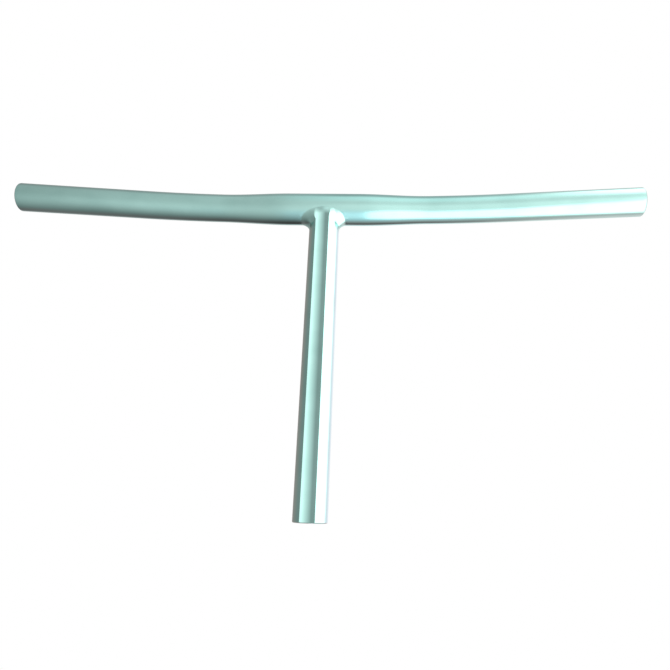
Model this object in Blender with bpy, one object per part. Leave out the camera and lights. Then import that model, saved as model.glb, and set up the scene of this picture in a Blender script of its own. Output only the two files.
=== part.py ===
"""One-piece T-bar bicycle handlebar: a bulged cross bar welded to a straight stem tube.

Units are metres and +Z is up. The stem runs along Z, with its open foot at Z 0. The cross bar runs
along X, and its two ends sweep back towards -Y, the rider's side. Both tubes are hollow: the cross
bar's bore is open at both ends, and the stem's bore is open at the foot and ends at the bar's wall.
"""

import math

import bpy
import bmesh
from mathutils import Vector

# Cross bar, with lengths measured along its centreline
BAR_LENGTH = 0.492
BAR_CENTRE_DIAMETER = 0.0254
BAR_GRIP_DIAMETER = 0.0222
BAR_WALL = 0.0022
BULGE_LENGTH = 0.056
TAPER_LENGTH = 0.056
BEND_START = 0.047
BEND_RADIUS = 1.0
SWEEP_ANGLE = math.radians(5.7)

# Stem, from the foot to the cross bar's centreline
STEM_HEIGHT = 0.240
STEM_DIAMETER = 0.024
STEM_WALL = 0.0025

# Weld: its leg down the stem, how far its toe reaches along the bar and past the stem's front and
# rear, how square the toe's outline is (2 is an ellipse), and how deep its edge runs under the skin
WELD_LEG = 0.0063
WELD_REACH = 0.0062
WELD_FRONT_REACH = 0.0002
WELD_SQUARENESS = 3.6
WELD_SINK = 0.0002

# Tube ends: the rounding of the outer edge, and the chamfer inside the bore
EDGE_RADIUS = 0.0008
BORE_CHAMFER = 0.0004

# Facets: an even number of sides round each tube, and steps along the shaped stretches
SIDES = 48
EDGE_STEPS = 3
BEND_STEPS = 15
WELD_STEPS = 8

# How far a cutter runs past the solid that it cuts
CUTTER_OVERRUN = 0.004

# The share of a corner's leg that rounds a cubic curve like a quarter circle, and the share of the
# bar's radius that the weld's toe keeps within at the stem's front and rear
ROUND_HANDLE = 0.5523
WELD_WIDEST = 0.985

# Finish
TINTED_ALLOY = (0.50, 0.70, 0.66, 1.0)
ALLOY_ROUGHNESS = 0.28

BAR_CENTRE_RADIUS = BAR_CENTRE_DIAMETER / 2
BAR_GRIP_RADIUS = BAR_GRIP_DIAMETER / 2
STEM_RADIUS = STEM_DIAMETER / 2
BULGE_END = BULGE_LENGTH / 2
TAPER_END = BULGE_END + TAPER_LENGTH
BEND_END = BEND_START + BEND_RADIUS * SWEEP_ANGLE


def bar_point(distance):
    """The centreline's point at a distance from the middle, which is negative on the -X side.

    The middle is straight, each side turns back on an arc of BEND_RADIUS, and the grips are straight.
    """
    along = abs(distance)
    turned = min(max(along - BEND_START, 0.0), BEND_END - BEND_START)
    angle = turned / BEND_RADIUS
    straight = max(along - BEND_END, 0.0)
    x = min(along, BEND_START) + BEND_RADIUS * math.sin(angle) + straight * math.cos(angle)
    y = -BEND_RADIUS * (1 - math.cos(angle)) - straight * math.sin(angle)
    return math.copysign(x, distance), y, STEM_HEIGHT


def bar_radius(distance):
    """The bar's outer radius: full over the bulge, then eased down to the grip's over the taper."""
    share = (abs(distance) - BULGE_END) / TAPER_LENGTH
    share = min(max(share, 0.0), 1.0)
    eased = share * share * (3 - 2 * share)
    return BAR_CENTRE_RADIUS + (BAR_GRIP_RADIUS - BAR_CENTRE_RADIUS) * eased


def shaped_distances():
    """Distances from the middle, on one side, that follow the taper and the bend."""
    first = min(BULGE_END, BEND_START)
    last = max(TAPER_END, BEND_END)
    return [first + (last - first) * step / BEND_STEPS for step in range(BEND_STEPS + 1)]


def rounded_edge():
    """Pairs of how far a rounded tube end lies back from its face, and in from its side."""
    pairs = []
    for step in range(EDGE_STEPS + 1):
        angle = math.pi / 2 * step / EDGE_STEPS
        pairs.append((EDGE_RADIUS * (1 - math.sin(angle)), EDGE_RADIUS * (1 - math.cos(angle))))
    return pairs


def both_sides(half):
    """A list of (distance, radius) on the +X side, mirrored and joined from -X to +X."""
    return [(-distance, radius) for distance, radius in reversed(half)] + half


def bar_outside():
    """(distance, radius) along the cross bar's outer skin, with its ends rounded."""
    half = [(distance, bar_radius(distance)) for distance in shaped_distances()]
    for back, inward in rounded_edge():
        half.append((BAR_LENGTH / 2 - back, BAR_GRIP_RADIUS - inward))
    return both_sides(half)


def bar_inside():
    """(distance, radius) along the cross bar's bore, which widens to a chamfer at each end."""
    half = [(distance, bar_radius(distance) - BAR_WALL) for distance in shaped_distances()]
    bore_radius = BAR_GRIP_RADIUS - BAR_WALL
    half.append((BAR_LENGTH / 2 - BORE_CHAMFER, bore_radius))
    half.append((BAR_LENGTH / 2 + CUTTER_OVERRUN, bore_radius + BORE_CHAMFER + CUTTER_OVERRUN))
    return both_sides(half)


def link_to(collection_name, obj):
    """Puts an object in a collection of this name, made on first use."""
    collection = bpy.data.collections.get(collection_name)
    if collection is None:
        collection = bpy.data.collections.new(collection_name)
        bpy.context.scene.collection.children.link(collection)
    collection.objects.link(obj)


def as_helper(obj):
    """Makes an object one that only cuts or joins another."""
    obj.hide_render = True
    obj.display_type = "WIRE"
    link_to("cutters", obj)
    return obj


def smoothed(mesh):
    mesh.shade_smooth()
    mesh.set_sharp_from_angle(angle=math.radians(30))


def turned_along(name, points, radii):
    """A closed round solid whose radius changes along a path of points."""
    curve = bpy.data.curves.new(name + "_path", "CURVE")
    curve.dimensions = "3D"
    curve.bevel_depth = 1.0
    curve.bevel_resolution = SIDES // 2 - 2
    curve.use_fill_caps = True
    spline = curve.splines.new("POLY")
    spline.points.add(len(points) - 1)
    for knot, point, radius in zip(spline.points, points, radii):
        knot.co = (*point, 1.0)
        knot.radius = radius
    path = bpy.data.objects.new(name + "_path", curve)
    bpy.context.scene.collection.objects.link(path)
    bpy.context.view_layer.update()
    graph = bpy.context.evaluated_depsgraph_get()
    mesh = bpy.data.meshes.new_from_object(path.evaluated_get(graph))
    bpy.data.objects.remove(path)
    solid = bmesh.new()
    solid.from_mesh(mesh)
    bmesh.ops.remove_doubles(solid, verts=solid.verts, dist=1e-6)
    bmesh.ops.recalc_face_normals(solid, faces=solid.faces)
    solid.to_mesh(mesh)
    solid.free()
    smoothed(mesh)
    return bpy.data.objects.new(name, mesh)


def bar_form(name, stations):
    """A round solid along the cross bar's centreline, from (distance, radius) stations."""
    points = [bar_point(distance) for distance, radius in stations]
    radii = [radius for distance, radius in stations]
    return as_helper(turned_along(name, points, radii))


def stem_bore():
    """The stem's bore, from under the foot to the bar's centreline, chamfered at the foot."""
    radius = STEM_RADIUS - STEM_WALL
    heights = [-CUTTER_OVERRUN, BORE_CHAMFER, STEM_HEIGHT + CUTTER_OVERRUN]
    radii = [radius + BORE_CHAMFER + CUTTER_OVERRUN, radius, radius]
    return as_helper(turned_along("stem_bore", [(0.0, 0.0, height) for height in heights], radii))


def weld_toe(turn):
    """The toe's distance from the stem's axis, and its drop below the bar's axis, at one angle.

    Seen from below, the toe is a superellipse round the stem, laid on the bar's skin.
    """
    along = STEM_RADIUS + WELD_REACH
    across = min(STEM_RADIUS + WELD_FRONT_REACH, BAR_CENTRE_RADIUS * WELD_WIDEST)
    power = WELD_SQUARENESS
    shares = abs(math.cos(turn) / along) ** power + abs(math.sin(turn) / across) ** power
    distance = shares ** (-1 / power)
    return distance, math.sqrt(BAR_CENTRE_RADIUS**2 - (distance * math.sin(turn)) ** 2)


def weld_points(turn):
    """The weld's section at one angle round the stem, from the stem's side to under the bar's skin.

    The section lies in an upright plane through the stem's axis. It is a cubic curve that leaves the
    stem's side upwards and runs out to the toe along the bar, and its two middle control points lie
    near the corner where those two tangents cross. Its end is sunk under the bar's skin, so that the
    weld meets the skin at a blunt angle, as a dressed weld does.
    """
    toe_distance, toe_drop = weld_toe(turn)
    rise = toe_distance * math.sin(turn) ** 2 / toe_drop
    corner_drop = toe_drop + max(toe_distance - STEM_RADIUS, 0.0) * rise
    crossing = math.sqrt(max(BAR_CENTRE_RADIUS**2 - (STEM_RADIUS * math.sin(turn)) ** 2, 0.0))
    slant = math.hypot(1.0, rise)
    start = Vector((STEM_RADIUS, -crossing - WELD_LEG))
    corner = Vector((STEM_RADIUS, -corner_drop))
    toe = Vector((toe_distance, -toe_drop))
    sunk_toe = toe + Vector((-rise, 1.0)) * (WELD_SINK / slant)
    controls = (start, start.lerp(corner, ROUND_HANDLE), toe.lerp(corner, ROUND_HANDLE), sunk_toe)
    points = []
    for step in range(WELD_STEPS + 1):
        share = step / WELD_STEPS
        weights = ((1 - share) ** 3, 3 * share * (1 - share) ** 2, 3 * share**2 * (1 - share), share**3)
        distance = sum(weight * control.x for weight, control in zip(weights, controls))
        height = STEM_HEIGHT + sum(weight * control.y for weight, control in zip(weights, controls))
        points.append((distance * math.cos(turn), distance * math.sin(turn), height))
    return points


def ring(radius, height):
    turns = [2 * math.pi * side / SIDES for side in range(SIDES)]
    return [(radius * math.cos(turn), radius * math.sin(turn), height) for turn in turns]


def stem_form(name):
    """The stem and its weld, lofted through rings from the foot to the bar's centreline."""
    rings = [ring(STEM_RADIUS - inward, back) for back, inward in reversed(rounded_edge())]
    sections = [weld_points(2 * math.pi * side / SIDES) for side in range(SIDES)]
    rings.extend(zip(*sections))
    rings.append(ring(min(STEM_RADIUS, BAR_CENTRE_RADIUS) - STEM_WALL / 2, STEM_HEIGHT))
    solid = bmesh.new()
    loops = [[solid.verts.new(point) for point in points] for points in rings]
    for lower, upper in zip(loops, loops[1:]):
        for side in range(SIDES):
            following = (side + 1) % SIDES
            solid.faces.new((lower[side], lower[following], upper[following], upper[side]))
    solid.faces.new(reversed(loops[0]))
    solid.faces.new(loops[-1])
    mesh = bpy.data.meshes.new(name)
    solid.to_mesh(mesh)
    solid.free()
    smoothed(mesh)
    return bpy.data.objects.new(name, mesh)


def add_boolean(obj, name, operation, other):
    modifier = obj.modifiers.new(name, "BOOLEAN")
    modifier.operation = operation
    modifier.solver = "EXACT"
    modifier.object = other


def tinted_alloy():
    material = bpy.data.materials.new("tinted_alloy")
    material.use_nodes = True
    shader = material.node_tree.nodes["Principled BSDF"]
    shader.inputs["Base Color"].default_value = TINTED_ALLOY
    shader.inputs["Metallic"].default_value = 1.0
    shader.inputs["Roughness"].default_value = ALLOY_ROUGHNESS
    return material


def clear_scene():
    for obj in list(bpy.data.objects):
        bpy.data.objects.remove(obj)


def main():
    clear_scene()
    handlebar = stem_form("t_bar_handlebar")
    link_to("t_bar_handlebar", handlebar)
    handlebar.data.materials.append(tinted_alloy())
    add_boolean(handlebar, "stem bore", "DIFFERENCE", stem_bore())
    add_boolean(handlebar, "cross bar", "UNION", bar_form("bar_outside", bar_outside()))
    add_boolean(handlebar, "bar bore", "DIFFERENCE", bar_form("bar_bore", bar_inside()))


main()
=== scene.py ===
"""Looks of a one-piece T-bar handlebar: a fine skin of mint-tinted satin alloy, lit in a plain studio.

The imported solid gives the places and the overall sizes. One closed skin replaces it: the cross bar,
the stem and the dressed weld share their edges, and both bores are open. Units are metres, +Z is up,
+X is the rider's right and -Y is the rider's side, where the camera stands.
"""

from __future__ import annotations

import logging
import math
from dataclasses import dataclass, field
from enum import Enum
from typing import Any

import bmesh
import bpy
import numpy as np
from mathutils import Matrix, Vector

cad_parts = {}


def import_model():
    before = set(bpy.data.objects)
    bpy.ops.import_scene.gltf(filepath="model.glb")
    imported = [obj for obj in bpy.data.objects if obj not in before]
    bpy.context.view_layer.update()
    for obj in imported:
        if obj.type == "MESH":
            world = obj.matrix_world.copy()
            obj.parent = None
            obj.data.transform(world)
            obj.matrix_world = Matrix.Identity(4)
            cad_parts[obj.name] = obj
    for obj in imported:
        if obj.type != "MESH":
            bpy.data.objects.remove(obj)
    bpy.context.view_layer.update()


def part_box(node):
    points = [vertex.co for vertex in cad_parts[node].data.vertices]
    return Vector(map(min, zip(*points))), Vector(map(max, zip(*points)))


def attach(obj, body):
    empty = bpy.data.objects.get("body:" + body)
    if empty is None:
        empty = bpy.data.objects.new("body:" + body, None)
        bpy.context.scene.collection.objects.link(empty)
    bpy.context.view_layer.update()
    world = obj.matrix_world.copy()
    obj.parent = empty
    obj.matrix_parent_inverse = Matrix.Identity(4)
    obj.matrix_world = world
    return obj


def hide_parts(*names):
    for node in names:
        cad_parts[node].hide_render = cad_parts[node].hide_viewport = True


LOG = logging.getLogger("handlebar")
NODE = "t_bar_handlebar"
BODY = "root"
IMAGE_SIZE = 670
QUARTER_HANDLE = 0.5523
LIP_ROWS = 13
RUB_REACH = 1.3
MERGE_DISTANCE = 1e-6
CENTRE_RADIUS = 0.0127
WHITE = (1.0, 1.0, 1.0, 1.0)

Span = tuple[float, float]
Triple = tuple[float, float, float]
Colour = tuple[float, float, float, float]
Levels = tuple[Span, ...]
Socket = bpy.types.NodeSocket


class Mask(Enum):
    """The masks that the skin's vertices carry, by the names of their attributes."""

    STEM = "stem_share"
    WELD = "weld_share"
    BORE = "bore_share"
    EDGE = "edge_share"


def smooth_step(share: np.ndarray) -> np.ndarray:
    """Eases a share from 0 to 1: three times its square less twice its cube, held within 0 and 1."""
    held = np.clip(share, 0.0, 1.0)
    return held * held * (3.0 - 2.0 * held)


def eased(values: np.ndarray, span: Span) -> np.ndarray:
    """Eases from 0 at a span's first value to 1 at its second."""
    return smooth_step((values - span[0]) / (span[1] - span[0]))


def open_end(outer: float, bore: float, rounding: float, chamfer: float) -> tuple[np.ndarray, ...]:
    """An open tube end: a quarter round from the skin to the face, then the chamfer into the bore.

    Args:
        outer: The tube's outer radius.
        bore: The bore's radius.
        rounding: The radius of the quarter round.
        chamfer: The chamfer's size.

    Returns:
        Each ring's radius, its depth behind the face, and how strongly it is rubbed, as a column.
    """
    turn = np.linspace(0.0, math.pi / 2, LIP_ROWS)
    inner = np.array([chamfer, chamfer / 2, 0.0])
    radius = np.concatenate([outer - rounding * (1 - np.cos(turn)), bore + inner])
    depth = np.concatenate([rounding * (1 - np.sin(turn)), chamfer - inner])
    rub = np.concatenate([smooth_step(np.linspace(0.0, RUB_REACH, LIP_ROWS)), np.ones(len(inner))])
    return radius, depth, rub[:, None]


@dataclass
class Patch:
    """One grid of the skin, with the masks of its vertices.

    Attributes:
        points: Places in metres, as rows by columns by three.
        masks: Values from 0 to 1, as one number or as rows by columns. A mask left out is 0.
        wraps: Whether the last column joins the first.
    """

    points: np.ndarray
    masks: dict[Mask, np.ndarray | float] = field(default_factory=dict)
    wraps: bool = False

    def faces(self, first: int) -> np.ndarray:
        """Quads between neighbouring rows and columns, numbered from a first vertex.

        Args:
            first: The number of the patch's first vertex in the whole skin.

        Returns:
            Four vertex numbers a row.
        """
        rows, columns = self.points.shape[:2]
        grid = first + np.arange(rows * columns).reshape(rows, columns)
        if self.wraps:
            grid = np.concatenate([grid, grid[:, :1]], axis=1)
        corners = (grid[:-1, :-1], grid[:-1, 1:], grid[1:, 1:], grid[1:, :-1])
        return np.stack(corners, axis=-1).reshape(-1, 4)

    def mask(self, name: Mask) -> np.ndarray:
        """One of this patch's masks, as one number a vertex."""
        return np.broadcast_to(self.masks.get(name, 0.0), self.points.shape[:2]).reshape(-1)


@dataclass
class CrossBar:
    """The swept cross bar, thicker in its middle, with its bore and its rounded ends.

    Attributes:
        centre_height: The height of its centreline.
        half_length: Half its length along the centreline.
        centre_radius: Its outer radius over the bulge.
        grip_radius: Its outer radius at the grips.
        wall: The thickness of its wall.
        bulge_end: Where the bulge ends, from the middle.
        taper_end: Where the taper ends.
        bend_start: Where the sweep begins.
        bend_radius: The radius of the sweep's arc.
        sweep: The angle that each side turns through.
        edge_radius: The rounding of each end's outer edge.
        bore_chamfer: The chamfer of the bore at each end.
        sides: Facets round the tube.
        stations: Rings along each side, from the bulge's end to the rounded edge.
    """

    centre_height: float
    half_length: float = 0.246
    centre_radius: float = CENTRE_RADIUS
    grip_radius: float = 0.0111
    wall: float = 0.0022
    bulge_end: float = 0.028
    taper_end: float = 0.084
    bend_start: float = 0.047
    bend_radius: float = 1.0
    sweep: float = math.radians(5.7)
    edge_radius: float = 0.0008
    bore_chamfer: float = 0.0004
    sides: int = 128
    stations: int = 84

    def turns(self) -> np.ndarray:
        """Angles round the tube from one side of its top seam to the other, 0 at the bottom, + in front."""
        return np.linspace(-math.pi, math.pi, self.sides + 1)

    def centreline(self, distance: np.ndarray) -> tuple[np.ndarray, np.ndarray]:
        """Points and front directions of the centreline: straight, then an arc, then straight again.

        Args:
            distance: Distances from the middle, negative on the -X side.

        Returns:
            The points and the level unit vectors that point to the rider's side, square to the line.
        """
        along = np.abs(distance)
        turned = np.clip(along - self.bend_start, 0.0, self.bend_radius * self.sweep)
        angle = turned / self.bend_radius
        straight = np.maximum(along - self.bend_start - self.bend_radius * self.sweep, 0.0)
        side = np.where(distance < 0, -1.0, 1.0)
        bent = self.bend_radius * np.sin(angle)
        across = np.minimum(along, self.bend_start) + bent + straight * np.cos(angle)
        back = -self.bend_radius * (1 - np.cos(angle)) - straight * np.sin(angle)
        points = np.stack([side * across, back, np.full_like(along, self.centre_height)], axis=-1)
        front = np.stack([-side * np.sin(angle), -np.cos(angle), np.zeros_like(angle)], axis=-1)
        return points, front

    def radius(self, distance: np.ndarray) -> np.ndarray:
        """The outer radius: the bulge's, eased down to the grip's between the bulge's and taper's ends."""
        share = eased(np.abs(distance), (self.bulge_end, self.taper_end))
        return self.centre_radius + (self.grip_radius - self.centre_radius) * share

    def tube(self, distance: np.ndarray, radius: np.ndarray) -> np.ndarray:
        """A grid round the centreline: centre plus radius times (sine turn front, less cosine turn up).

        Args:
            distance: The distance of each ring from the middle.
            radius: The radius of each ring.

        Returns:
            Rings by turns by three.
        """
        points, front = self.centreline(distance)
        turns = self.turns()
        up = np.array([0.0, 0.0, 1.0])
        spokes = np.sin(turns)[None, :, None] * front[:, None] - np.cos(turns)[None, :, None] * up
        return points[:, None] + radius[:, None, None] * spokes

    def skin_point(self, across: np.ndarray, turn: np.ndarray) -> np.ndarray:
        """Points on the straight bulge's skin, from a place along X and a turn round the tube."""
        depth = -self.centre_radius * np.sin(turn)
        height = self.centre_height - self.centre_radius * np.cos(turn)
        return np.stack([across, depth, height], axis=-1)

    def arm(self, side: float) -> Patch:
        """One arm's outer skin, from the bulge's end to where its edge rounding starts."""
        distance = np.linspace(self.bulge_end, self.half_length - self.edge_radius, self.stations)
        return Patch(self.tube(side * distance, self.radius(distance)))

    def lip(self, side: float) -> Patch:
        """One open end's rings, from the skin to the bore, with side 1 for the +X end, or -1."""
        bore = self.grip_radius - self.wall
        radius, depth, rub = open_end(self.grip_radius, bore, self.edge_radius, self.bore_chamfer)
        return Patch(self.tube(side * (self.half_length - depth), radius), {Mask.EDGE: rub})

    def bore(self) -> Patch:
        """The bore's wall, through the bar from one chamfer to the other."""
        reach = self.half_length - self.bore_chamfer
        distance = np.linspace(-reach, reach, self.stations)
        return Patch(self.tube(distance, self.radius(distance) - self.wall), {Mask.BORE: 1.0})

    def patches(self) -> list[Patch]:
        """The bar's patches, without its bulge, which the weld's outline cuts."""
        return [self.arm(1.0), self.arm(-1.0), self.lip(1.0), self.lip(-1.0), self.bore()]


@dataclass
class Weld:
    """The dressed weld and the bulge's skin round it.

    The outline on the bar is a superellipse in plan. The hollow is a cubic curve in each upright
    plane through the stem's axis, which leaves the stem upwards and runs out along the bar's skin.

    Attributes:
        bar: The bar that it joins.
        stem_radius: The stem's outer radius.
        leg: Its leg down the stem.
        left_leg: The same on the -X side, where more metal was laid.
        reach: How far its outline's control point lies past the stem, along the bar.
        left_reach: The same on the -X side.
        front_reach: The same at the front and rear.
        squareness: The superellipse's power.
        sink: How deep the curve's end runs under the bar's skin.
        top_columns: Points along the bulge's top seam.
        rows: Rows of the hollow.
        bulge_rows: Rows of the bulge's skin.
        crowding: The power that crowds those rows towards the toe.
        first_share: The share of the curve from which the toe is looked for.
        halvings: How often that stretch is halved.
    """

    bar: CrossBar
    stem_radius: float = 0.012
    leg: float = 0.0063
    left_leg: float = 0.0078
    reach: float = 0.0062
    left_reach: float = 0.0084
    front_reach: float = 0.0002
    squareness: float = 3.6
    sink: float = 0.0002
    top_columns: int = 40
    rows: int = 22
    bulge_rows: int = 30
    crowding: float = 1.3
    first_share: float = 0.4
    halvings: int = 40

    def outer_line(self) -> tuple[np.ndarray, np.ndarray]:
        """The bulge's unrolled edge, once round: places along X and turns, starting at +X and the seam.

        Returns:
            The places and the turns. The two arms' rings and the top seam share these points.
        """
        turns = self.bar.turns()
        edge = self.bar.bulge_end
        seam = np.linspace(-edge, edge, self.top_columns + 1)
        right = np.full(self.bar.sides, edge)
        across = np.concatenate([right, seam[:0:-1], -right, seam[:-1]])
        top = np.full(self.top_columns, math.pi)
        turn = np.concatenate([turns[:-1], top, turns[:0:-1], -top])
        return across, turn

    def angles(self) -> np.ndarray:
        """Angles round the stem, from +X towards +Y, that face the points of the bulge's edge."""
        across, turn = self.outer_line()
        return np.arctan2(-turn * self.bar.centre_radius, across)

    def curve(self, angle: np.ndarray, share: np.ndarray) -> tuple[np.ndarray, np.ndarray]:
        """The hollow's distance from the stem's axis and height, by angle and by share along the curve.

        Args:
            angle: Angles round the stem.
            share: Shares from the stem, 0, to under the bar's skin, 1, with the angles in their last axis.

        Returns:
            Distances and heights, in the shares' own shape.
        """
        bar_radius, height = self.bar.centre_radius, self.bar.centre_height
        left = smooth_step(-np.cos(angle))
        leg = self.leg + (self.left_leg - self.leg) * left
        along = self.stem_radius + self.reach + (self.left_reach - self.reach) * left
        across = self.stem_radius + self.front_reach
        power = self.squareness
        shares = np.abs(np.cos(angle) / along) ** power + np.abs(np.sin(angle) / across) ** power
        toe = shares ** (-1 / power)
        toe_drop = np.sqrt(bar_radius**2 - (toe * np.sin(angle)) ** 2)
        rise = toe * np.sin(angle) ** 2 / toe_drop
        corner_drop = toe_drop + (toe - self.stem_radius) * rise
        crossing = np.sqrt(bar_radius**2 - (self.stem_radius * np.sin(angle)) ** 2)
        slant = np.hypot(1.0, rise)
        start = np.stack([np.full_like(angle, self.stem_radius), -crossing - leg])
        corner = np.stack([np.full_like(angle, self.stem_radius), -corner_drop])
        end = np.stack([toe, -toe_drop])
        sunk = end + self.sink * np.stack([-rise, np.ones_like(rise)]) / slant
        near_stem = start + QUARTER_HANDLE * (corner - start)
        near_toe = end + QUARTER_HANDLE * (corner - end)
        part = np.asarray(share)[..., None, :]
        rest = 1 - part
        place = rest**3 * start + 3 * rest**2 * part * near_stem
        place = place + 3 * rest * part**2 * near_toe + part**3 * sunk
        return place[..., 0, :], height + place[..., 1, :]

    def toe_share(self, angle: np.ndarray) -> np.ndarray:
        """The share along each curve at which it meets the bar's skin, found by halving."""
        low, high = np.full_like(angle, self.first_share), np.ones_like(angle)
        for _ in range(self.halvings):
            middle = (low + high) / 2
            distance, height = self.curve(angle, middle)
            from_axis = np.hypot(distance * np.sin(angle), height - self.bar.centre_height)
            outside = from_axis > self.bar.centre_radius
            low, high = np.where(outside, middle, low), np.where(outside, high, middle)
        return (low + high) / 2

    def hollow(self) -> np.ndarray:
        """The weld's grid: from its start on the stem, row by row, to its toe on the bar's skin."""
        angle = self.angles()
        share = np.linspace(0.0, 1.0, self.rows)[:, None] * self.toe_share(angle)
        distance, height = self.curve(angle, share)
        return np.stack([distance * np.cos(angle), distance * np.sin(angle), height], axis=-1)

    def bulge(self, toe: np.ndarray) -> np.ndarray:
        """The bulge's skin: straight lines, on the unrolled skin, from the toe out to the bulge's edge.

        Args:
            toe: The toe's points, in order round the stem.

        Returns:
            The grid, from the toe to the edge.
        """
        across, turn = self.outer_line()
        toe_turn = np.arctan2(-toe[:, 1], self.bar.centre_height - toe[:, 2])
        share = np.linspace(0.0, 1.0, self.bulge_rows)[:, None] ** self.crowding
        places = toe[:, 0] + (across - toe[:, 0]) * share
        turns = toe_turn + (turn - toe_turn) * share
        return self.bar.skin_point(places, turns)

    def patches(self) -> list[Patch]:
        """The weld's hollow and the bulge's skin, with the masks that fade between them."""
        hollow = self.hollow()
        share = np.linspace(0.0, 1.0, self.rows)[:, None]
        bulge = self.bulge(hollow[-1])
        away = np.linalg.norm(bulge - bulge[:1], axis=-1)
        return [
            Patch(hollow, {Mask.STEM: 1 - smooth_step(share), Mask.WELD: 1.0}, wraps=True),
            Patch(bulge, {Mask.WELD: 1 - smooth_step(away / self.leg)}, wraps=True),
        ]


@dataclass
class Stem:
    """The straight stem tube, with its open foot and its bore up to the bar's wall.

    Attributes:
        weld: The weld at its top.
        foot: The height of its foot.
        wall: The thickness of its wall.
        edge_radius: The rounding of the foot's outer edge.
        bore_chamfer: The chamfer of the bore at the foot.
        rings: Rings along its outside.
        cap_rings: Rings of the skin that closes the bore.
    """

    weld: Weld
    foot: float
    wall: float = 0.0025
    edge_radius: float = 0.0008
    bore_chamfer: float = 0.0004
    rings: int = 40
    cap_rings: int = 10

    def ring(self, radius: np.ndarray, height: np.ndarray) -> np.ndarray:
        """Rings round the stem's axis, one for each radius and row of heights.

        Args:
            radius: One radius a ring.
            height: Heights, as rings by 1 or rings by angles.

        Returns:
            Rings by angles by three.
        """
        angle = self.weld.angles()
        flat = radius[:, None] * np.stack([np.cos(angle), np.sin(angle)])[:, None]
        heights = np.broadcast_to(height, flat[0].shape)
        return np.stack([flat[0], flat[1], heights], axis=-1)

    def outside(self, top: np.ndarray) -> Patch:
        """The outer skin, from the foot's rounding up to the weld's start.

        Args:
            top: The heights at which the weld starts, by angle.

        Returns:
            The patch.
        """
        share = np.linspace(0.0, 1.0, self.rings)[:, None]
        low = self.foot + self.edge_radius
        height = low + (top - low) * share
        radius = np.full(self.rings, self.weld.stem_radius)
        near = smooth_step(1 - (top - height) / self.weld.leg)
        return Patch(self.ring(radius, height), {Mask.STEM: 1.0, Mask.WELD: near}, wraps=True)

    def lip(self) -> Patch:
        """The foot's rings, from the skin to the bore."""
        outer = self.weld.stem_radius
        radius, depth, rub = open_end(outer, outer - self.wall, self.edge_radius, self.bore_chamfer)
        height = self.foot + depth
        return Patch(self.ring(radius, height[:, None]), {Mask.STEM: 1.0, Mask.EDGE: rub}, wraps=True)

    def bore_top(self, radius: np.ndarray) -> np.ndarray:
        """Heights of the bar's skin over rings round the stem's axis, as rings by angles."""
        bar = self.weld.bar
        depth = radius[:, None] * np.sin(self.weld.angles())
        return bar.centre_height - np.sqrt(bar.centre_radius**2 - depth**2)

    def bore(self) -> list[Patch]:
        """The bore's wall, from the chamfer up to the bar's skin, and the skin that closes it."""
        radius = self.weld.stem_radius - self.wall
        share = np.linspace(0.0, 1.0, self.rings // 2)[:, None]
        low = self.foot + self.bore_chamfer
        height = low + (self.bore_top(np.array([radius])) - low) * share
        masks = {Mask.STEM: 1.0, Mask.BORE: 1.0}
        wall = Patch(self.ring(np.full(len(share), radius), height), masks, wraps=True)
        shrinking = radius * np.linspace(1.0, 0.0, self.cap_rings)
        cap = Patch(self.ring(shrinking, self.bore_top(shrinking)), masks, wraps=True)
        return [wall, cap]

    def patches(self, top: np.ndarray) -> list[Patch]:
        """The stem's patches, up to the heights at which the weld starts."""
        return [self.outside(top), self.lip(), *self.bore()]


@dataclass
class Handlebar:
    """The whole handlebar: its shapes, joined into one closed skin, and its finish.

    Attributes:
        bar: The cross bar.
        stem: The stem, with the weld at its top.
        crease: The angle from which an edge of the skin shades as a crease.
    """

    bar: CrossBar
    stem: Stem
    crease: float = math.radians(10.0)

    def patches(self) -> list[Patch]:
        """All patches of the skin."""
        weld = self.stem.weld.patches()
        start = weld[0].points[0, :, 2]
        return [*self.bar.patches(), *weld, *self.stem.patches(start)]

    def skin(self, name: str) -> bpy.types.Object:
        """Joins the patches into one closed mesh with its masks.

        Args:
            name: The piece's name.

        Returns:
            The piece, at the origin.
        """
        patches = self.patches()
        counts = [patch.points.shape[0] * patch.points.shape[1] for patch in patches]
        firsts = np.cumsum([0, *counts[:-1]])
        points = np.concatenate([patch.points.reshape(-1, 3) for patch in patches])
        faces = np.concatenate([patch.faces(int(first)) for patch, first in zip(patches, firsts)])
        mesh = bpy.data.meshes.new(name)
        mesh.from_pydata(points.tolist(), [], faces.tolist())
        for mask in Mask:
            values = np.concatenate([patch.mask(mask) for patch in patches]).astype(np.float32)
            mesh.attributes.new(mask.value, "FLOAT", "POINT").data.foreach_set("value", values)
        work = bmesh.new()
        work.from_mesh(mesh)
        bmesh.ops.remove_doubles(work, verts=work.verts, dist=MERGE_DISTANCE)
        bmesh.ops.recalc_face_normals(work, faces=work.faces)
        work.to_mesh(mesh)
        work.free()
        mesh.shade_smooth()
        mesh.set_sharp_from_angle(angle=self.crease)
        piece = bpy.data.objects.new(name, mesh)
        bpy.context.collection.objects.link(piece)
        return piece

    def build(self, finish: TintedAlloy) -> None:
        """Makes the piece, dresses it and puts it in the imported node's place.

        Args:
            finish: The finish of the whole skin.
        """
        piece = self.skin("handlebar_body")
        piece.data.materials.append(finish.material())
        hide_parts(NODE)
        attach(piece, BODY)
        mesh = piece.data
        LOG.info("%s: %d vertices, %d faces", piece.name, len(mesh.vertices), len(mesh.polygons))


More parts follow.
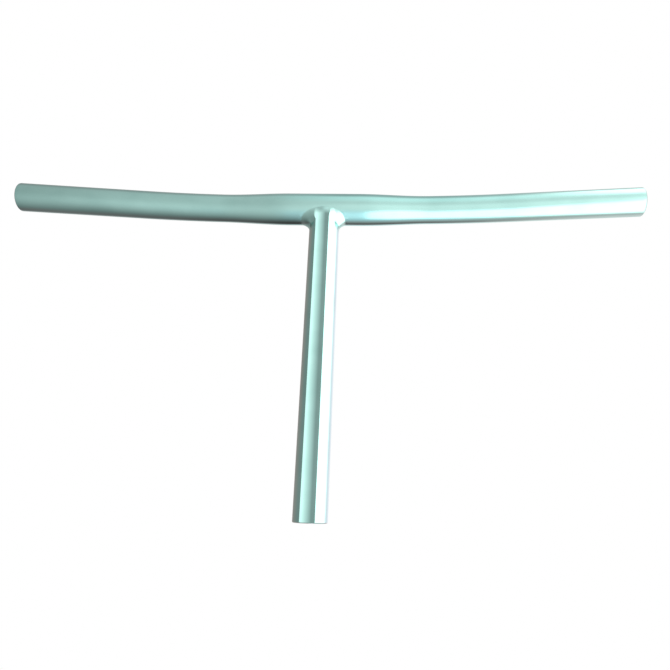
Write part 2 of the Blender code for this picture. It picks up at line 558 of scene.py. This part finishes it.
class Signal:
    """A number that varies over a surface or over directions: one socket, with the usual operators."""

    def __init__(self, graph: Graph, socket: Socket) -> None:
        """Keeps the socket and the graph that holds it."""
        self.graph = graph
        self.socket = socket

    def __add__(self, other: Signal | float) -> Signal:
        """Self plus other."""
        return self.graph.maths("ADD", self, other)

    def __radd__(self, other: float) -> Signal:
        """Other plus self."""
        return self.graph.maths("ADD", other, self)

    def __sub__(self, other: Signal | float) -> Signal:
        """Self less other."""
        return self.graph.maths("SUBTRACT", self, other)

    def __rsub__(self, other: float) -> Signal:
        """Other less self."""
        return self.graph.maths("SUBTRACT", other, self)

    def __mul__(self, other: Signal | float) -> Signal:
        """Self times other."""
        return self.graph.maths("MULTIPLY", self, other)

    def __rmul__(self, other: float) -> Signal:
        """Other times self."""
        return self.graph.maths("MULTIPLY", other, self)

    def __neg__(self) -> Signal:
        """Self with its sign turned."""
        return self.graph.maths("MULTIPLY", self, -1.0)

    def step(self, low: float, high: float) -> Signal:
        """Eases from 0 at low to 1 at high.

        Args:
            low: The value at which it starts to rise.
            high: The value at which it is full.

        Returns:
            The eased signal.
        """
        settings = {"interpolation_type": "SMOOTHSTEP"}
        values = {"Value": self, "From Min": low, "From Max": high}
        node = self.graph.node("ShaderNodeMapRange", settings, values)
        return Signal(self.graph, node.outputs["Result"])

    def towards(self, other: Signal | float, share: Signal) -> Signal:
        """Self mixed with other by a share from 0 to 1."""
        return self + (other - self) * share


class Graph:
    """One node tree, with the few ways in which this script adds nodes to it."""

    def __init__(self, tree: bpy.types.NodeTree) -> None:
        """Clears the tree and keeps it."""
        self.tree = tree
        tree.nodes.clear()

    def node(
        self,
        kind: str,
        settings: dict[str, Any] | None = None,
        values: dict[str | int, Any] | None = None,
    ) -> bpy.types.Node:
        """Adds a node.

        Args:
            kind: The node's type.
            settings: Its settings, set first. Stops are a ramp's positions and levels.
            values: The values of its sockets, or the signals or sockets that link to them.

        Returns:
            The node.
        """
        made = self.tree.nodes.new(kind)
        for name, value in (settings or {}).items():
            if name == "stops":
                self.set_stops(made.color_ramp, value)
            else:
                setattr(made, name, value)
        for name, value in (values or {}).items():
            source = value.socket if isinstance(value, Signal) else value
            if isinstance(source, Socket):
                self.tree.links.new(source, made.inputs[name])
            else:
                made.inputs[name].default_value = source
        return made

    def set_stops(self, ramp: bpy.types.ColorRamp, stops: list[Span]) -> None:
        """Sets a ramp's stops, each a position and a grey level."""
        while len(ramp.elements) < len(stops):
            ramp.elements.new(1.0)
        for element, (position, level) in zip(ramp.elements, stops):
            element.position = position
            element.color = (level, level, level, 1.0)

    def maths(self, operation: str, first: Signal | float, second: Signal | float) -> Signal:
        """One Math node.

        Args:
            operation: What it does.
            first: Its first number or signal.
            second: Its second number or signal.

        Returns:
            The result.
        """
        node = self.node("ShaderNodeMath", {"operation": operation}, {0: first, 1: second})
        return Signal(self, node.outputs[0])

    def levels(self, signal: Signal, levels: Levels, way: str = "LINEAR") -> Signal:
        """Levels by a signal, through a ramp that runs as far either way as the levels do.

        Args:
            signal: The signal.
            levels: Pairs of a value of the signal and the level there.
            way: How the ramp passes from pair to pair.

        Returns:
            The level.
        """
        reach = max(abs(value) for value, _ in levels)
        full = max(level for _, level in levels)
        stops = [((value / reach + 1) / 2, level / full) for value, level in levels]
        place = signal * (0.5 / reach) + 0.5
        ramp = self.node("ShaderNodeValToRGB", {"stops": stops}, {0: place})
        ramp.color_ramp.interpolation = way
        return Signal(self, ramp.outputs[0]) * full

    def attribute(self, name: str) -> Signal:
        """One of a mesh's own numbers, by its name."""
        return Signal(self, self.node("ShaderNodeAttribute", {"attribute_name": name}).outputs["Fac"])

    def noise(self, place: Socket, cells: Triple, detail: float) -> Signal:
        """Noise from about 0 to 1 on places that are scaled first.

        Args:
            place: The places.
            cells: Cells a metre along each axis.
            detail: The noise's octaves.

        Returns:
            The noise.
        """
        scaled = self.node("ShaderNodeVectorMath", {"operation": "MULTIPLY"}, {0: place, 1: cells})
        values = {"Vector": scaled.outputs[0], "Scale": 1.0, "Detail": detail}
        return Signal(self, self.node("ShaderNodeTexNoise", None, values).outputs["Fac"])

    def mixed(self, share: Signal, first: Any, second: Any) -> Socket:
        """Two colours mixed by a share.

        Args:
            share: The share of the second, from 0 to 1.
            first: A colour or a socket.
            second: A colour or a socket.

        Returns:
            The mixed colour's socket.
        """
        values = {0: share, 6: first, 7: second}
        return self.node("ShaderNodeMix", {"data_type": "RGBA"}, values).outputs[2]

    def one_sided(self, colour: Any, level: Signal | float, shown: Signal | float) -> None:
        """Ends a material as a light on the faces' front side, clear from behind.

        Args:
            colour: The light's colour or its socket.
            level: Its level.
            shown: How far the front side shows, from clear, 0, to the whole light, 1.
        """
        lit = self.node("ShaderNodeEmission", None, {"Color": colour, "Strength": level})
        clear = self.node("ShaderNodeBsdfTransparent")
        behind = Signal(self, self.node("ShaderNodeNewGeometry").outputs["Backfacing"])
        values = {0: (1.0 - behind) * shown, 1: clear.outputs[0], 2: lit.outputs[0]}
        both = self.node("ShaderNodeMixShader", None, values)
        self.node("ShaderNodeOutputMaterial", None, {"Surface": both.outputs[0]})

    def white_to_camera(self, shader: bpy.types.Node, kind: str) -> Socket:
        """A shader that the camera sees as plain white, which a node of this kind gives."""
        white = self.node(kind, None, {"Color": WHITE, "Strength": 1.0})
        seen = self.node("ShaderNodeLightPath").outputs["Is Camera Ray"]
        values = {0: seen, 1: shader.outputs[0], 2: white.outputs[0]}
        return self.node("ShaderNodeMixShader", None, values).outputs[0]


def new_material(name: str) -> tuple[bpy.types.Material, Graph]:
    """A new material of this name, with its cleared nodes."""
    made = bpy.data.materials.new(name)
    made.use_nodes = True
    return made, Graph(made.node_tree)


@dataclass(frozen=True)
class TintedAlloy:
    """Polished alloy under a thin mint tint, with bare alloy where the ends rub and inside the bores.

    Attributes:
        tint: The tinted metal's colour.
        deep_tint: The same where the tint lies a little thicker.
        rubbed: The metal where an edge is rubbed bright.
        bare: The drawn metal inside the bores.
        roughness: The polished skin's roughness.
        dressed_roughness: What the dressed weld adds to it.
        bore_roughness: The roughness inside the bores.
        coat: The weight of the clear layer over the tint.
        coat_roughness: That layer's roughness.
        line_depth: The depth of the polishing lines.
        ripple_depth: The depth of the ripples that dressing leaves on the weld.
        line_cells: Cells a metre across the polishing lines, and along them.
        cloud_cells: Cells a metre of the tint's clouds.
        scuff_cells: The same for the scuffs on a rubbed edge.
        ripple_cells: The same for the ripples.
        cloud_span: The noise between which the tint turns deep.
        scuff_span: The noise between which a rubbed edge turns bright.
        unevenness: How far the lines and the clouds each vary the roughness.
        bore_unevenness: How far the lines vary it inside the bores.
        scuffing: What scuffs add to a rubbed edge's roughness.
    """

    tint: Colour = (0.430, 0.700, 0.650, 1.0)
    deep_tint: Colour = (0.385, 0.640, 0.594, 1.0)
    rubbed: Colour = (0.640, 0.735, 0.715, 1.0)
    bare: Colour = (0.520, 0.540, 0.530, 1.0)
    roughness: float = 0.11
    dressed_roughness: float = 0.07
    bore_roughness: float = 0.30
    coat: float = 0.30
    coat_roughness: float = 0.08
    line_depth: float = 0.000004
    ripple_depth: float = 0.00005
    line_cells: Span = (1500.0, 60.0)
    cloud_cells: Triple = (34.0, 55.0, 55.0)
    scuff_cells: float = 900.0
    ripple_cells: float = 260.0
    cloud_span: Span = (0.35, 0.75)
    scuff_span: Span = (0.30, 0.62)
    unevenness: float = 0.05
    bore_unevenness: float = 0.04
    scuffing: float = 0.12

    def material(self) -> bpy.types.Material:
        """Builds the material.

        Returns:
            The material, on Object coordinates and the skin's masks.
        """
        made, graph = new_material("tinted_alloy")
        place = graph.node("ShaderNodeTexCoord").outputs["Object"]
        stem, weld, bore, edge = (graph.attribute(mask.value) for mask in Mask)
        lines = self.lines(graph, place, stem)
        clouds = graph.noise(place, self.cloud_cells, detail=3.0)
        scuffs = graph.noise(place, (self.scuff_cells,) * 3, detail=4.0)
        colour = graph.mixed(clouds.step(*self.cloud_span), self.tint, self.deep_tint)
        colour = graph.mixed(edge * scuffs.step(*self.scuff_span), colour, self.rubbed)
        colour = graph.mixed(bore, colour, self.bare)
        polish = self.roughness + (lines - 0.5) * self.unevenness + (clouds - 0.5) * self.unevenness
        polish = polish + weld * self.dressed_roughness + edge * scuffs * self.scuffing
        drawn = self.bore_roughness + (lines - 0.5) * self.bore_unevenness
        roughness = polish.towards(drawn, bore)
        shader = graph.node(
            "ShaderNodeBsdfPrincipled",
            None,
            {
                "Base Color": colour,
                "Metallic": 1.0,
                "Roughness": roughness,
                "Normal": self.relief(graph, place, lines * (1.0 - bore), weld),
                "Coat Weight": self.coat * (1.0 - bore),
                "Coat Roughness": self.coat_roughness,
            },
        )
        graph.node("ShaderNodeOutputMaterial", None, {"Surface": shader.outputs[0]})
        return made

    def lines(self, graph: Graph, place: Socket, stem: Signal) -> Signal:
        """Fine polishing lines: round the stem, and round the bar.

        Args:
            graph: The material's nodes.
            place: Object coordinates.
            stem: How far a place belongs to the stem.

        Returns:
            The lines, from about 0 to 1.
        """
        across, along = self.line_cells
        on_bar = graph.noise(place, (across, along, along), detail=3.0)
        on_stem = graph.noise(place, (along, along, across), detail=3.0)
        return on_bar.towards(on_stem, stem)

    def relief(self, graph: Graph, place: Socket, lines: Signal, weld: Signal) -> Socket:
        """The bump of the polishing lines, and of the ripples on the dressed weld.

        Args:
            graph: The material's nodes.
            place: Object coordinates.
            lines: The polishing lines.
            weld: How far a place belongs to the weld.

        Returns:
            The normal's socket.
        """
        fine = graph.node("ShaderNodeBump", None, {"Height": lines, "Distance": self.line_depth})
        ripples = graph.noise(place, (self.ripple_cells,) * 3, detail=1.0) * weld
        values = {"Height": ripples, "Distance": self.ripple_depth, "Normal": fine.outputs[0]}
        return graph.node("ShaderNodeBump", None, values).outputs[0]


@dataclass
class Camera:
    """The camera that was fitted to the photograph.

    Attributes:
        place: Where it stands.
        yaw: Its turn about +Z from looking along +Y.
        pitch: How far it looks up.
        roll: Its turn about its own view.
        focal_pixels: Its focal length in pixels of the photograph.
        offset_pixels: How far the view's axis lies right of and below the photograph's middle.
        sensor: The width of its sensor in millimetres.
        clip_start: The nearest distance that it sees.
    """

    place: Triple = (0.03497, -0.36251, 0.01403)
    yaw: float = math.radians(2.48)
    pitch: float = math.radians(18.58)
    roll: float = math.radians(1.84)
    focal_pixels: float = 509.28
    offset_pixels: Span = (9.92, -4.41)
    sensor: float = 36.0
    clip_start: float = 0.01

    def build(self) -> None:
        """Makes the camera and sets it as the scene's."""
        data = bpy.data.cameras.new("camera")
        data.sensor_width = self.sensor
        data.lens = self.focal_pixels / IMAGE_SIZE * self.sensor
        data.shift_x = -self.offset_pixels[0] / IMAGE_SIZE
        data.shift_y = self.offset_pixels[1] / IMAGE_SIZE
        data.clip_start = self.clip_start
        camera = bpy.data.objects.new("camera", data)
        yaw = Matrix.Rotation(self.yaw, 4, "Z")
        pitch = Matrix.Rotation(math.pi / 2 + self.pitch, 4, "X")
        turned = yaw @ pitch @ Matrix.Rotation(self.roll, 4, "Z")
        camera.matrix_world = Matrix.Translation(Vector(self.place)) @ turned
        bpy.context.collection.objects.link(camera)
        bpy.context.scene.camera = camera


@dataclass(frozen=True)
class Dome:
    """The soft light all round, as levels where 1 shows a colour as it is written.

    A direction has a part to the right, from -1 to 1, and a turn round the line from left to right:
    0 is level towards the camera's side, 90 straight up and -90 straight down. Its level is the
    level of its part times the level of its turn. Towards the far left and right the turn fades.
    A lit floor and a lamp above, both on the right, stand before that.

    Attributes:
        across: Levels by the part to the right: a dark left end, and a lamp at the right.
        left_turns: Levels by the turn in degrees, on the left: soft above and in front, dim below.
        right_turns: The same on the right.
        meeting: The parts between which the left levels give way to the right ones.
        left_end: The parts to the left between which the turn's effect fades.
        left_fade: How much of it fades there.
        right_end: The parts to the right between which it fades out.
        rear_level: The level behind on the right, so that the rear shows against a white ground.
        rear_turns: The turns either way between which the rear sets in.
        rear_edge: The parts between which it does.
        floor_levels: Levels of the lit floor, by the part to the right.
        floor_edge: The parts between which the lit floor starts.
        floor_front: The turn of its front edge straight ahead, and what a part of 1 adds to it.
        floor_back: The same for its rear edge.
        floor_softness: How far those two edges fade either way, in degrees.
        lamp_level: The level of the lamp above at the right.
        lamp_edge: The parts between which that lamp starts.
        lamp_end: The parts between which it ends.
        lamp_turns: The turns between which it starts in front and ends behind.
        cool: The light's colour below, near the middle.
        fresh: The light's colour above, near the middle.
        cool_edge: The parts between which those two set in.
        cool_end: The parts between which they end.
        cool_turns: The turns above and below level between which they set in.
        warm: The light's colour far below, from behind.
        warm_turns: The turns below level between which it sets in.
    """

    across: Levels = (
        (-0.85, 0.36), (-0.40, 0.56), (-0.15, 0.82), (0.00, 1.10), (0.40, 1.55),
        (0.45, 1.90), (0.52, 1.25), (0.70, 0.90), (1.00, 0.62),
    )
    left_turns: Levels = (
        (-180.0, 0.70), (-158.0, 0.05), (-150.0, 0.05), (-30.0, 1.15), (20.0, 0.97),
        (70.0, 0.97), (100.0, 0.60), (125.0, 0.60), (150.0, 0.80), (180.0, 0.70),
    )
    right_turns: Levels = (
        (-180.0, 0.75), (-158.0, 0.12), (-70.0, 1.22), (-40.0, 1.05), (-5.0, 1.05), (22.0, 0.87),
        (55.0, 1.02), (65.0, 1.02), (98.0, 0.47), (125.0, 0.47), (150.0, 0.80), (180.0, 0.75),
    )
    meeting: Span = (-0.11, -0.05)
    left_end: Span = (0.08, 0.55)
    left_fade: float = 0.34
    right_end: Span = (0.45, 0.62)
    rear_level: float = 0.85
    rear_turns: Span = (118.0, 150.0)
    rear_edge: Span = (0.05, 0.50)
    floor_levels: Levels = ((0.0, 2.4), (0.42, 2.4), (0.54, 1.2), (0.80, 0.9))
    floor_edge: Span = (0.020, 0.034)
    floor_front: Span = (-52.0, 120.0)
    floor_back: Span = (-95.0, -45.0)
    floor_softness: float = 14.0
    lamp_level: float = 2.30
    lamp_edge: Span = (0.17, 0.34)
    lamp_end: Span = (0.42, 0.56)
    lamp_turns: Span = (45.0, 96.0)
    cool: Colour = (0.86, 1.00, 1.11, 1.0)
    fresh: Colour = (0.89, 1.00, 1.01, 1.0)
    cool_edge: Span = (-0.28, -0.05)
    cool_end: Span = (0.06, 0.28)
    cool_turns: Span = (20.0, 62.0)
    warm: Colour = (1.28, 1.00, 1.03, 1.0)
    warm_turns: Span = (104.0, 145.0)

    def build(self) -> None:
        """Makes the world: white for the camera, and the dome's levels for everything else."""
        world = bpy.data.worlds.new("studio")
        bpy.context.scene.world = world
        world.use_nodes = True
        graph = Graph(world.node_tree)
        direction = graph.node("ShaderNodeTexCoord").outputs["Generated"]
        parts = graph.node("ShaderNodeSeparateXYZ", None, {0: direction}).outputs
        right, away, up = (Signal(graph, part) for part in parts)
        degrees = graph.maths("ARCTAN2", up, -away) * math.degrees(1.0)
        left_level = graph.levels(degrees, self.left_turns, "EASE")
        right_level = graph.levels(degrees, self.right_turns, "EASE")
        turned = left_level.towards(right_level, right.step(*self.meeting))
        ends = (-right).step(*self.left_end) * self.left_fade + right.step(*self.right_end)
        turned = turned.towards(1.0, ends)
        level = graph.levels(right, self.across) * turned
        off_level = graph.maths("ABSOLUTE", degrees, 0.0)
        soft = self.floor_softness
        ahead = (right * self.floor_front[1] + self.floor_front[0] - degrees).step(-soft, soft)
        behind = (degrees - right * self.floor_back[1] - self.floor_back[0]).step(-soft, soft)
        lit_floor = ahead * behind * right.step(*self.floor_edge)
        level = level.towards(graph.levels(right, self.floor_levels), lit_floor)
        start, end = self.lamp_turns
        lamp = right.step(*self.lamp_edge) * (1.0 - right.step(*self.lamp_end))
        lamp = lamp * degrees.step(start - soft, start + soft)
        level = level.towards(self.lamp_level, lamp * (1.0 - degrees.step(end - soft, end + soft)))
        rear = off_level.step(*self.rear_turns) * right.step(*self.rear_edge)
        level = level.towards(self.rear_level, rear)
        cool = right.step(*self.cool_edge) * (1.0 - right.step(*self.cool_end))
        cool = cool * off_level.step(*self.cool_turns)
        warm = (-degrees).step(*self.warm_turns) * (degrees + 180.0).step(0.0, soft)
        hue = graph.mixed(degrees.step(-soft, soft), self.cool, self.fresh)
        colour = graph.mixed(warm, graph.mixed(cool, WHITE, hue), self.warm)
        light = graph.node("ShaderNodeBackground", None, {"Color": colour, "Strength": level})
        surface = graph.white_to_camera(light, "ShaderNodeBackground")
        graph.node("ShaderNodeOutputWorld", None, {"Surface": surface})


def metal_light(
    name: str, grid: Patch, numbers: dict[str, np.ndarray], finish: bpy.types.Material
) -> bpy.types.Object:
    """Makes a light that only the metal sees, lit on the side that a grid's faces turn away from.

    Args:
        name: Its name.
        grid: Its grid.
        numbers: Its vertices' own numbers, by their names.
        finish: Its material.

    Returns:
        The light.
    """
    mesh = bpy.data.meshes.new(name)
    faces = grid.faces(0)[:, ::-1]
    mesh.from_pydata(grid.points.reshape(-1, 3).tolist(), [], faces.tolist())
    for number, values in numbers.items():
        held = mesh.attributes.new(number, "FLOAT", "POINT")
        held.data.foreach_set("value", values.reshape(-1).astype(np.float32))
    mesh.materials.append(finish)
    piece = bpy.data.objects.new(name, mesh)
    piece.visible_camera = False
    piece.visible_diffuse = False
    return piece


@dataclass(frozen=True)
class Sleeve:
    """A light sleeve that stands round the stem, open behind it and lit on its inner side.

    Only the metal sees it. Its angles start at the camera's side and grow to the right.

    Attributes:
        levels: Its bands by the angle: dark, bright fading evenly to dim, white, pale.
        radius: Its radius round the stem's axis.
        foot: The height of its lower edge.
        side_top: The height of its upper edge beside the stem, under the bar.
        front_top: The same in front.
        left_front: The angles to the left between which it steps down from the front's height.
        right_front: The same to the right.
        fade: The height over which its upper edge fades out.
        end_fade: The angle over which its two ends fade out.
        foot_shade: The heights between which it turns dim, just below the stem's foot.
        foot_level: Its level from there down.
        warm: Its colour at the far left.
        warm_turns: The angles to the left between which that colour sets in.
        rosy: Its colour at the far right.
        rosy_turns: The angles to the right between which that one does.
        columns: Points along it.
    """

    levels: Levels = (
        (-130.0, 0.33), (-37.5, 0.33), (-36.9, 1.60), (-29.0, 1.60), (8.0, 0.47),
        (22.6, 0.47), (23.2, 2.60), (62.0, 2.60), (76.0, 1.10), (130.0, 1.10),
    )
    radius: float = 0.014
    foot: float = -0.040
    side_top: float = 0.2240
    front_top: float = 0.2350
    left_front: Span = (28.0, 50.0)
    right_front: Span = (38.0, 62.0)
    fade: float = 0.004
    end_fade: float = 34.0
    foot_shade: Span = (-0.0030, -0.0006)
    foot_level: float = 0.35
    warm: Colour = (1.28, 1.00, 0.97, 1.0)
    warm_turns: Span = (44.0, 68.0)
    rosy: Colour = (1.22, 1.00, 1.12, 1.0)
    rosy_turns: Span = (60.0, 76.0)
    columns: int = 131

    def build(self) -> bpy.types.Object:
        """Makes the sleeve: radius times (sine angle, less cosine angle), at five heights.

        Returns:
            The sleeve.
        """
        reach = self.levels[-1][0]
        degrees = np.linspace(-reach, reach, self.columns)
        angle = np.radians(degrees)
        arc = self.radius * np.stack([np.sin(angle), -np.cos(angle)], axis=-1)
        beside = eased(-degrees, self.left_front) + eased(degrees, self.right_front)
        top = self.front_top + (self.side_top - self.front_top) * beside
        low = [np.full_like(top, height) for height in (self.foot, *self.foot_shade)]
        heights = (*low, top - self.fade, top)
        grid = Patch(np.stack([np.column_stack([arc, height]) for height in heights]))
        shown = smooth_step((reach - np.abs(degrees)) / self.end_fade)
        rows_shown = [1.0, 1.0, 1.0, 1.0, 0.0]
        rows_dim = [1.0, 1.0, 0.0, 0.0, 0.0]
        numbers = {
            "degrees": np.tile(degrees, len(heights)),
            "shown": np.outer(rows_shown, shown),
            "dim": np.repeat(rows_dim, self.columns),
        }
        return metal_light("sleeve", grid, numbers, self.material())

    def material(self) -> bpy.types.Material:
        """Its light on the inner side. It is clear from outside and clears towards its upper edge."""
        made, graph = new_material("sleeve")
        degrees, shown = graph.attribute("degrees"), graph.attribute("shown")
        level = graph.levels(degrees, self.levels)
        level = level.towards(self.foot_level, graph.attribute("dim"))
        colour = graph.mixed((-degrees).step(*self.warm_turns), WHITE, self.warm)
        colour = graph.mixed(degrees.step(*self.rosy_turns), colour, self.rosy)
        graph.one_sided(colour, level, shown)
        return made


@dataclass(frozen=True)
class Card:
    """A small upright card at the right of the weld, lit towards it. Only the metal sees it.

    A grid before it keeps its light from leaving at a slant. Its light fades out towards its edges
    and towards the bar, which passes through it, so that the bar beside it shows no hard outline.

    Attributes:
        bar: The bar that passes through it.
        across: Its place along X.
        depths: Its front and rear edges along Y.
        heights: Its lower and upper edges.
        fade: The width over which its light fades in from its edges.
        front_fade: The width in front of the bar over which its light sets in.
        under_fade: The same under the bar.
        level: Its level.
        slants: The slants between which the grid shuts, from 0, square to it, to 1, along it.
        points: Points along each of its sides.
    """

    bar: CrossBar
    across: float = 0.024
    depths: Span = (-0.038, 0.010)
    heights: Span = (0.202, 0.242)
    fade: float = 0.008
    front_fade: float = 0.008
    under_fade: float = 0.0010
    level: float = 2.6
    slants: Span = (0.74, 0.90)
    points: int = 33

    def build(self) -> bpy.types.Object:
        """Makes the card as a flat grid, with its front side towards -X and its light's share.

        Returns:
            The card.
        """
        (front, rear), (low, high) = self.depths, self.heights
        depths = np.linspace(front, rear, self.points)
        depth, height = np.meshgrid(depths, np.linspace(low, high, self.points))
        grid = Patch(np.stack([np.full_like(depth, self.across), depth, height], axis=-1))
        inside = np.minimum(depth - front, rear - depth)
        inside = np.minimum(inside, np.minimum(height - low, high - height))
        radius = self.bar.centre_radius
        before = smooth_step((-radius - depth) / self.front_fade)
        under = smooth_step((self.bar.centre_height - radius - height) / self.under_fade)
        shown = smooth_step(inside / self.fade) * np.maximum(before, under)
        made, graph = new_material("card")
        facing = graph.node("ShaderNodeLayerWeight", None, {"Blend": 0.5}).outputs["Facing"]
        through = 1.0 - Signal(graph, facing).step(*self.slants)
        graph.one_sided(WHITE, self.level, through * graph.attribute("shown"))
        return metal_light("card", grid, {"shown": shown}, made)


@dataclass(frozen=True)
class Floor:
    """A plain pale floor, white to the camera, which the metal doesn't mirror.

    Attributes:
        height: Its height.
        size: Half its width.
        colour: Its colour.
    """

    height: float = -0.30
    size: float = 6.0
    colour: Colour = (0.85, 0.85, 0.85, 1.0)

    def build(self) -> bpy.types.Object:
        """Makes the floor.

        Returns:
            The floor.
        """
        turns = ((-1, -1), (1, -1), (1, 1), (-1, 1))
        corners = [(across * self.size, along * self.size, self.height) for across, along in turns]
        mesh = bpy.data.meshes.new("floor")
        mesh.from_pydata(corners, [], [(0, 1, 2, 3)])
        made, graph = new_material("floor")
        pale = graph.node("ShaderNodeBsdfDiffuse", None, {"Color": self.colour})
        surface = graph.white_to_camera(pale, "ShaderNodeEmission")
        graph.node("ShaderNodeOutputMaterial", None, {"Surface": surface})
        mesh.materials.append(made)
        piece = bpy.data.objects.new("floor", mesh)
        piece.visible_glossy = False
        return piece


def build_studio(bar: CrossBar) -> None:
    """Makes the dome, the sleeve, the card and the floor, and sets the plain view transform.

    Args:
        bar: The cross bar.
    """
    Dome().build()
    for piece in (Sleeve().build(), Card(bar).build(), Floor().build()):
        bpy.context.collection.objects.link(piece)
        LOG.info("%s: part of the studio", piece.name)
    bpy.context.scene.view_settings.view_transform = "Standard"


def main() -> None:
    """Builds the handlebar, the studio and the camera."""
    logging.basicConfig(level=logging.INFO, format="%(name)s: %(message)s")
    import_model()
    lowest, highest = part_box(NODE)
    bar = CrossBar(centre_height=highest.z - CENTRE_RADIUS)
    Handlebar(bar, Stem(Weld(bar), foot=lowest.z)).build(TintedAlloy())
    build_studio(bar)
    Camera().build()


if __name__ == "__main__":
    main()
